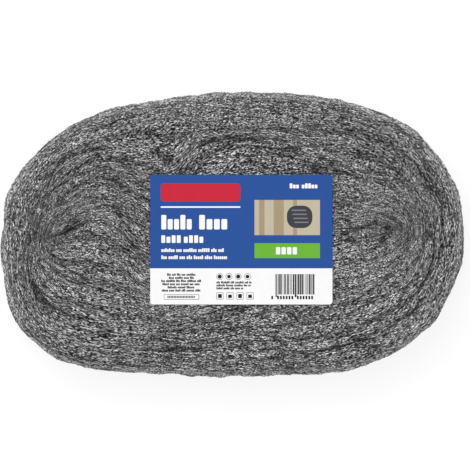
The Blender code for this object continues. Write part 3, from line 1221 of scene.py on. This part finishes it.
    def kept_clear(self, wiring: Wiring, given: dict[str, Signal], place: Signal) -> Signal:
        """Keeps a point below the label and above the floor.

        Args:
            wiring: The tree's wiring.
            given: The tree's inputs.
            place: The point's place.

        Returns:
            The place, moved where it has to be.
        """
        x, y, z = wiring.split(place)
        low_x, low_y, low_z = wiring.split(given["Label Low"])
        high_x, high_y, _ = wiring.split(given["Label High"])
        beside = (low_x - x).at_least(x - high_x)
        outside = (low_y - y).at_least(y - high_y).at_least(beside).at_least(0.0)
        limit = outside * self.slope + (low_z - self.clearance)
        return wiring.joined(x, y, z.at_most(limit).at_least(given["Floor"]))

    def lay(self, coat: Coat) -> bpy.types.Object:
        """Lays one coat of strands and returns it as a plain mesh object.

        Args:
            coat: How many strands there are and how they lie.

        Returns:
            The coat's object.
        """
        carrier = new_object(f"{coat.name}_carrier", self.carrier)
        zone = np.empty(len(self.carrier.polygons), dtype=np.int32)
        self.carrier.attributes["Zone"].data.foreach_get("value", zone)
        area = np.empty(len(zone))
        self.carrier.polygons.foreach_get("area", area)
        values = {
            "Zone": coat.zone.value,
            "Density": coat.count / float(area[zone == coat.zone.value].sum()),
            "Seed": coat.seed,
            "Shortest": coat.length[0],
            "Longest": coat.length[1],
            "Thinnest": coat.radius[0],
            "Thickest": coat.radius[1],
            "Lowest": coat.lie.height[0],
            "Highest": coat.lie.height[1],
            "Dive": coat.lie.dive,
            "Tilt": coat.lie.tilt,
            "Drift": coat.lie.drift,
            "Bend": coat.lie.bend,
            "Darkest": coat.lie.tone[0],
            "Lightest": coat.lie.tone[1],
            "Label Low": self.label_low,
            "Label High": self.label_high,
            "Floor": self.low + coat.radius[1],
            "Material": self.material,
        }
        modifier = carrier.modifiers.new("Strands", "NODES")
        modifier.node_group = self.tree(values)
        for item in modifier.node_group.interface.items_tree:
            if item.in_out == "INPUT" and item.name in values:
                modifier[item.identifier] = values[item.name]
        depsgraph = bpy.context.evaluated_depsgraph_get()
        mesh = bpy.data.meshes.new_from_object(
            carrier.evaluated_get(depsgraph), preserve_all_data_layers=True, depsgraph=depsgraph
        )
        carrier.modifiers.remove(modifier)
        bpy.data.objects.remove(carrier)
        for name in ("Zone", "Speed", "Span", "Out"):
            mesh.attributes.remove(mesh.attributes[name])
        self.map_strands(mesh)
        mesh.name = coat.name
        return new_object(coat.name, mesh)

    def map_strands(self, mesh: bpy.types.Mesh) -> None:
        """Gives each strand a small cell of its own on the map.

        Args:
            mesh: The coat's mesh, whose strands follow each other ring by ring.
        """
        if BAKE_MAP in mesh.attributes:
            mesh.attributes.remove(mesh.attributes[BAKE_MAP])
        corner = np.empty(len(mesh.loops), dtype=np.int32)
        mesh.loops.foreach_get("vertex_index", corner)
        sizes = np.empty(len(mesh.polygons), dtype=np.int32)
        mesh.polygons.foreach_get("loop_total", sizes)
        owner = np.repeat(np.arange(len(sizes)), sizes)
        per_strand = self.points * self.sides
        strand, within = corner // per_strand, corner % per_strand
        ring, side = within // self.sides, (within % self.sides).astype(float)
        cap = sizes[owner] == self.sides
        closes = np.zeros(len(sizes), dtype=bool)
        closes[owner[(side == self.sides - 1) & ~cap]] = True
        opens = np.zeros(len(sizes), dtype=bool)
        opens[owner[(side == 0) & ~cap]] = True
        side = np.where((closes & opens)[owner] & (side == 0), self.sides, side)
        u = np.where(cap, side / (self.sides - 1), side / self.sides)
        v = ring / (self.points - 1)
        tip = np.where(ring == 0, -self.cap_room, self.cap_room) * (side == 1)
        v = (self.cap_room + v + np.where(cap, tip, 0)) / (1 + 2 * self.cap_room)
        count = math.ceil(math.sqrt(len(mesh.vertices) / per_strand))
        inner = 1 - 2 * self.cell_margin
        across = (strand % count + self.cell_margin + inner * u) / count
        along = (strand // count + self.cell_margin + inner * v) / count
        layer = mesh.uv_layers.new(name=BAKE_MAP)
        layer.data.foreach_set("uv", np.stack([across, along], axis=1).ravel().astype(np.float32))


@dataclass(frozen=True)
class CardFinish:
    """The look of the smooth coated card and of the ink printed on it."""

    colour: tuple[float, float, float] = (0.02, 0.083, 0.325)
    mottle: float = 0.04
    mottle_size: float = 6 * MM
    roughness: float = 0.55
    specular: float = 0.1

    def material(self, name: str, colour: tuple[float, float, float]) -> bpy.types.Material:
        """Makes the material of one colour of print.

        Args:
            name: The material's name.
            colour: The colour, as linear values.

        Returns:
            The material.
        """
        material, wiring, shader = new_material(name)
        place = Signal(wiring, wiring.add("ShaderNodeTexCoord").outputs["Object"])
        cloud = wiring.noise(wiring.vector("SCALE", place, 1 / self.mottle_size))
        level = (cloud - 0.5) * (2 * self.mottle) + 1.0
        mottled = wiring.vector("MULTIPLY", colour, wiring.joined(level, level, level))
        wiring.feed(shader.inputs["Base Color"], mottled)
        shader.inputs["Roughness"].default_value = self.roughness
        shader.inputs["Specular IOR Level"].default_value = self.specular
        return material


@dataclass
class Shape:
    """A flat printed shape, in millimetres from the card's upper left corner, with its ink and layer."""

    outline: list[Point]
    ink: Ink
    layer: int


def rounded(
    left: float, top: float, right: float, bottom: float, radii: Sequence[float], facets: int = 5
) -> list[Point]:
    """Outlines a rectangle with rounded corners.

    Args:
        left: The left edge.
        top: The upper edge, counted down from the card's top.
        right: The right edge.
        bottom: The lower edge.
        radii: The corners' radii: upper left, upper right, lower right and lower left.
        facets: The facets on each rounded corner.

    Returns:
        The outline's points.
    """
    corners = (
        (left, top, 1, 1, 180),
        (right, top, -1, 1, 270),
        (right, bottom, -1, -1, 0),
        (left, bottom, 1, -1, 90),
    )
    points = []
    for (x, y, inward, down, start), radius in zip(corners, radii):
        if not radius:
            points.append((x, y))
            continue
        middle_x, middle_y = x + inward * radius, y + down * radius
        for step in range(facets + 1):
            turn = (start + 90 * step / facets) * DEGREE
            points.append((middle_x + radius * math.cos(turn), middle_y + radius * math.sin(turn)))
    return points


def disc(x: float, y: float, radius: float, facets: int = 20) -> list[Point]:
    """Outlines a disc.

    Args:
        x: The middle, from the card's left edge.
        y: The middle, down from the card's top.
        radius: The radius.
        facets: The number of facets.

    Returns:
        The outline's points.
    """
    turns = [math.tau * step / facets for step in range(facets)]
    return [(x + radius * math.cos(turn), y + radius * math.sin(turn)) for turn in turns]


@dataclass
class CardLabel:
    """The printed card on top of the roll: fields of colour and plain blocks in thin layers of ink."""

    low: Vector
    high: Vector
    finish: CardFinish = field(default_factory=CardFinish)
    width: float = 118
    depth: float = 84
    corner: float = 2
    layer_height: float = 0.03 * MM
    sink: float = 0.02 * MM
    seed: int = 11
    edge_margin: float = 0.02
    group_sizes: tuple[int, int] = (3, 7)
    group_gap: float = 0.7
    tall_share: float = 0.3
    low_drop: float = 0.26
    block_room: float = 0.8
    block_width: float = 0.84
    block_corner: float = 0.16
    line_end_slack: float = 0.01
    stripe_widths: tuple[float, ...] = (0.36, 0.36, 0.66, 0.66, 0.96)
    stripe_gaps: tuple[float, ...] = (0.29, 0.29, 0.64)
    thin_stripe: float = 0.5
    stripes_left: float = 81.0
    stripes_right: float = 107.2
    long_stripes: tuple[int, ...] = (0, 1, 11, 12)
    text_left: float = 7.2
    picture_left: float = 67.5
    picture_right: float = 109.9
    shapes: list[Shape] = field(default_factory=list)

    def field_of(
        self, ink: Ink, layer: int, left: float, top: float, right: float, bottom: float, *radii: float
    ) -> None:
        """Prints a field of colour, with all its corners rounded alike or each with its own radius."""
        each = radii if len(radii) == 4 else (radii or (0,)) * 4
        self.shapes.append(Shape(rounded(left, top, right, bottom, each), ink, layer))

    def line_of_blocks(
        self,
        ink: Ink,
        draw: random.Random,
        left: float,
        right: float,
        top: float,
        bottom: float,
        block: float,
    ) -> None:
        """Prints a line of small blocks in groups, as a plain stand-in for a line of small print.

        Args:
            ink: The colour.
            draw: The source of random numbers.
            left: The line's left end.
            right: The line's right end.
            top: The upper edge of the tall blocks.
            bottom: The lower edge.
            block: The width of a block.
        """
        x = left
        in_group = draw.randint(*self.group_sizes)
        while x + self.block_room * block <= right + self.line_end_slack:
            upper = top if draw.random() < self.tall_share else top + self.low_drop * (bottom - top)
            self.field_of(ink, 2, x, upper, x + self.block_width * block, bottom, self.block_corner * block)
            x += block
            in_group -= 1
            if not in_group:
                x += self.group_gap * block
                in_group = draw.randint(*self.group_sizes)

    def print_left(self, draw: random.Random) -> None:
        """Prints the left of the blue field: the red bar with its rule, the title and the small print."""
        self.field_of(Ink.RED, 1, 6.8, 5.5, 58.4, 17.2, 2.2)
        self.field_of(Ink.WHITE, 1, 6.8, 20.4, 58.4, 21.4, 0.3)
        for left, right, blocks in ((self.text_left, 27.8, 5), (31.7, 50.9, 4)):
            pitch = (right - left) / blocks
            for at in range(blocks):
                top = 26 if at == 0 else 26 + 2.7 * (draw.random() < 0.7)
                self.field_of(Ink.WHITE, 1, left + at * pitch, top, left + (at + 0.78) * pitch, 35.4, 0.7)
        for at in range(8):
            left = self.text_left + at * 3.35 + (1.2 if at > 3 else 0)
            self.field_of(Ink.WHITE, 1, left, 39.2 + 0.9 * (at % 3 == 1), left + 2.5, 44.1, 0.4)
        self.line_of_blocks(Ink.WHITE, draw, self.text_left, 48, 47.6, 50, 1.25)
        self.line_of_blocks(Ink.WHITE, draw, self.text_left, 51, 52.2, 54.6, 1.25)

    def print_right(self, draw: random.Random) -> None:
        """Prints the right of the blue field: the small line, the picture and the green field."""
        self.line_of_blocks(Ink.WHITE, draw, 90.3, self.picture_right, 5.6, 8.8, 2.1)
        self.field_of(Ink.SAND, 1, self.picture_left, 16.3, self.picture_right, 39.1)
        for left, right in ((70.5, 74), (80, 86.5), (92.5, 95)):
            self.field_of(Ink.TAN, 2, left, 16.3, right, 39.1)
        self.field_of(Ink.SLATE, 3, 88.5, 20, 105, 34.5, 6)
        for at in range(4):
            top = 22.6 + 2.6 * at
            self.field_of(Ink.STEEL, 4, 91.5 + 0.6 * at, top, 101 + 0.5 * at, top + 0.8, 0.35)
        self.field_of(Ink.GREEN, 1, self.picture_left, 44.3, self.picture_right, 54)
        for at in range(4):
            left = 81.4 + 3.6 * at
            self.field_of(Ink.WHITE, 2, left, 46.9, left + 2.8, 51.6, 0.5)

    def print_band(self, draw: random.Random) -> None:
        """Prints the white band along the bottom: small print, round and square marks and stripes."""
        margin = self.edge_margin
        right, bottom = self.width - margin, self.depth - margin
        self.field_of(Ink.WHITE, 1, margin, 60.6, right, bottom, 0, 0, self.corner, self.corner)
        for at, half in enumerate((9.4, 8.2, 13.2, 12.4, 9, 12.8)):
            top = 63.8 + 2.05 * at
            self.line_of_blocks(Ink.BLACK, draw, 20.3 - half, 20.3 + half, top, top + 1.6, 0.85)
        self.field_of(Ink.BLACK, 2, 8.9, 77.4, 31.7, 80.8, 0.5)
        self.field_of(Ink.WHITE, 3, 9.15, 77.65, 31.45, 80.55, 0.35)
        for at in range(18):
            self.field_of(Ink.BLACK, 4, 11.2 + at, 78.4, 11.85 + at, 79.8)
        for at in range(4):
            radii = (2.15, 1.9, 1.35 - 0.15 * (at % 2))
            for layer, (radius, ink) in enumerate(zip(radii, (Ink.BLACK, Ink.WHITE, Ink.BLACK)), 2):
                self.shapes.append(Shape(disc(45 + 6 * at, 65.9, radius), ink, layer))
            left = 42.9 + 6.5 * at
            self.field_of(Ink.BLACK, 2, left, 76.2, left + 4.5, 80.7, 0.5)
            self.field_of(Ink.WHITE, 3, left + 0.25, 76.45, left + 4.25, 80.45, 0.35)
            self.field_of(Ink.BLACK, 4, left + 1, 77.2 + 0.4 * (at % 2), left + 3.5, 79.8, 0.5)
        for at, right in enumerate((66.2, 65.4, 60.5)):
            top = 68.9 + 1.9 * at
            self.line_of_blocks(Ink.BLACK, draw, 42.9, right, top, top + 1.5, 0.8)
        self.print_stripes(draw)

    def print_stripes(self, draw: random.Random) -> None:
        """Prints the block of upright stripes, with a row of small blocks below it."""
        x = self.stripes_left
        stripe = 0
        while x < self.stripes_right - 0.6:
            thick = draw.choice(self.stripe_widths)
            long = stripe in self.long_stripes or x > self.stripes_right - 1.3
            ink = Ink.BLACK if thick > self.thin_stripe else Ink.GREY
            self.field_of(ink, 2, x, 64.3, min(x + thick, self.stripes_right), 79.3 if long else 77.5)
            x += thick + draw.choice(self.stripe_gaps)
            stripe += 1
        for left in (78.4, *(82.2 + 1.85 * at for at in range(6)), *(95.0 + 1.85 * at for at in range(6))):
            self.field_of(Ink.BLACK, 3, left, 78.4, left + 1.15, 80.6, 0.25)

    def dress(self, card: bpy.types.Object) -> list[bpy.types.Object]:
        """Gives the card its finish and prints it, one piece for each ink.

        Args:
            card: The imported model's card, whose shape stays as it is.

        Returns:
            The pieces of ink.
        """
        card.data.materials.clear()
        card.data.materials.append(self.finish.material("Blue coated card", self.finish.colour))
        draw = random.Random(self.seed)
        self.print_left(draw)
        self.print_right(draw)
        self.print_band(draw)
        made = []
        for ink in Ink:
            of_ink = [shape for shape in self.shapes if shape.ink is ink]
            mesh = self.solid(f"{ink.name.lower()}_ink", of_ink)
            mesh.materials.append(self.finish.material(f"{ink.name.capitalize()} print", ink.value))
            made.append(new_object(mesh.name, mesh))
        return made

    def solid(self, name: str, shapes: Iterable[Shape]) -> bpy.types.Mesh:
        """Makes closed, very thin solids of printed shapes.

        Args:
            name: The mesh's name.
            shapes: The shapes.

        Returns:
            The mesh.
        """
        vertices: list[tuple[float, float, float]] = []
        faces: list[list[int]] = []
        wide = (self.high.x - self.low.x) / self.width
        deep = (self.high.y - self.low.y) / self.depth
        for shape in shapes:
            first, count = len(vertices), len(shape.outline)
            bottom = self.high.z - self.sink
            top = self.high.z + self.layer_height * shape.layer
            for height in (bottom, top):
                for x, y in shape.outline:
                    vertices.append((self.low.x + x * wide, self.high.y - y * deep, height))
            ring = list(range(first, first + count))
            faces.append(ring)
            faces.append([at + count for at in reversed(ring)])
            for at in range(count):
                after = (at + 1) % count
                faces.append([ring[at], ring[at] + count, ring[after] + count, ring[after]])
        mesh = bpy.data.meshes.new(name)
        mesh.from_pydata(vertices, [], faces)
        return mesh


@dataclass
class Studio:
    """The camera, the white floor and the plain soft light."""

    lens: float = 1178
    distance: float = 10.0
    aim_x: float = 1.4 * MM
    aim_y: float = -0.3 * MM
    aim_z: float = 42 * MM
    floor_size: float = 4.0
    floor_gap: float = 0.05 * MM
    floor_colour: float = 0.16
    floor_glow: float = 0.87
    floor_roughness: float = 0.9
    sky: float = 0.5
    key: float = 0.5
    key_angle: float = 25 * DEGREE
    key_tilt: float = 17 * DEGREE
    key_turn: float = 35 * DEGREE

    def place_camera(self) -> None:
        """Puts the camera straight above the roll, with the roll's +Y up in the picture."""
        data = bpy.data.cameras.new("Camera")
        data.lens = self.lens
        data.clip_end = 2 * self.distance
        camera = bpy.data.objects.new("Camera", data)
        camera.location = (self.aim_x, self.aim_y, self.aim_z + self.distance)
        bpy.context.scene.collection.objects.link(camera)
        bpy.context.scene.camera = camera

    def seen_directly(self, wiring: Wiring) -> Signal:
        """Returns 1 for rays from the camera, and for those that gloss or glass passes on."""
        rays = wiring.add("ShaderNodeLightPath").outputs
        kinds = [Signal(wiring, rays[f"Is {kind} Ray"]) for kind in ("Camera", "Glossy", "Transmission")]
        return kinds[0].at_least(kinds[1]).at_least(kinds[2])

    def lay_floor(self) -> bpy.types.Object:
        """Makes the pale floor."""
        half = self.floor_size / 2
        mesh = bpy.data.meshes.new("Floor")
        sides = ((-half, -half), (half, -half), (half, half), (-half, half))
        mesh.from_pydata([(x, y, -self.floor_gap) for x, y in sides], [], [(0, 1, 2, 3)])
        material, wiring, shader = new_material("Pale floor")
        level = self.floor_colour
        shader.inputs["Base Color"].default_value = (level, level, level, 1)
        shader.inputs["Roughness"].default_value = self.floor_roughness
        shader.inputs["Specular IOR Level"].default_value = 0.0
        shader.inputs["Emission Color"].default_value = (1, 1, 1, 1)
        wiring.feed(shader.inputs["Emission Strength"], self.seen_directly(wiring) * self.floor_glow)
        mesh.materials.append(material)
        return new_object("Floor", mesh)

    def light(self) -> None:
        """Lights the scene with a pale sky and a broad, soft lamp from above."""
        world = bpy.data.worlds.new("Sky")
        world.use_nodes = True
        bpy.context.scene.world = world
        wiring = Wiring(world.node_tree)
        back = world.node_tree.nodes["Background"]
        back.inputs["Color"].default_value = (1, 1, 1, 1)
        wiring.feed(back.inputs["Strength"], self.seen_directly(wiring) * (1 - self.sky) + self.sky)
        lamp = bpy.data.lights.new("Key", "SUN")
        lamp.energy = self.key * math.pi / math.cos(self.key_tilt)
        lamp.angle = self.key_angle
        key = bpy.data.objects.new("Key", lamp)
        key.rotation_euler = (self.key_tilt, 0, math.pi + self.key_turn)
        bpy.context.scene.collection.objects.link(key)


PACKED = Lie((-0.3 * MM, 0.05 * MM), 0.15, 0.3 * MM, (0.3, 0.8))
LOOSE = Lie((0.0, 0.4 * MM), 0.24, 0.35 * MM, (0.25, 0.9))
COATS = (
    Coat("top_mat", Zone.TOP, 101, (7 * MM, 11 * MM), (0.17 * MM, 0.27 * MM), PACKED),
    Coat("top_strands", Zone.TOP, 202, (6 * MM, 10 * MM), (0.11 * MM, 0.2 * MM), LOOSE),
    Coat("side_mat", Zone.SIDE, 303, (8 * MM, 12 * MM), (0.18 * MM, 0.28 * MM), PACKED),
    Coat("side_strands", Zone.SIDE, 404, (7 * MM, 11 * MM), (0.12 * MM, 0.22 * MM), LOOSE),
)


def attach(piece: bpy.types.Object) -> None:
    """Makes a piece part of the object.

    Args:
        piece: The piece.
    """
    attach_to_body(piece, "root")
    log.info("%s: %d faces", piece.name, len(piece.data.polygons))


def main() -> None:
    """Builds the wool, the label and the studio, and writes the sizes."""
    logging.basicConfig(level=logging.INFO, format="%(name)s: %(message)s")
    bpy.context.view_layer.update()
    roll_low, roll_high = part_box("wool_roll")
    label_low, label_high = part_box("card_label")
    body = RollBody(roll_low, roll_high, label_low, label_high).build()
    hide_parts("wool_roll")
    attach(body)
    layer = StrandLayer(body.data, label_low, label_high, roll_low.z, FibreFinish().strand_material())
    for coat in COATS:
        attach(layer.lay(coat))
    for ink in CardLabel(label_low, label_high).dress(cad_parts["card_label"]):
        attach(ink)
    studio = Studio()
    studio.place_camera()
    studio.lay_floor()
    studio.light()
    bpy.context.scene.view_settings.view_transform = "Standard"


if __name__ == "__main__":
    main()
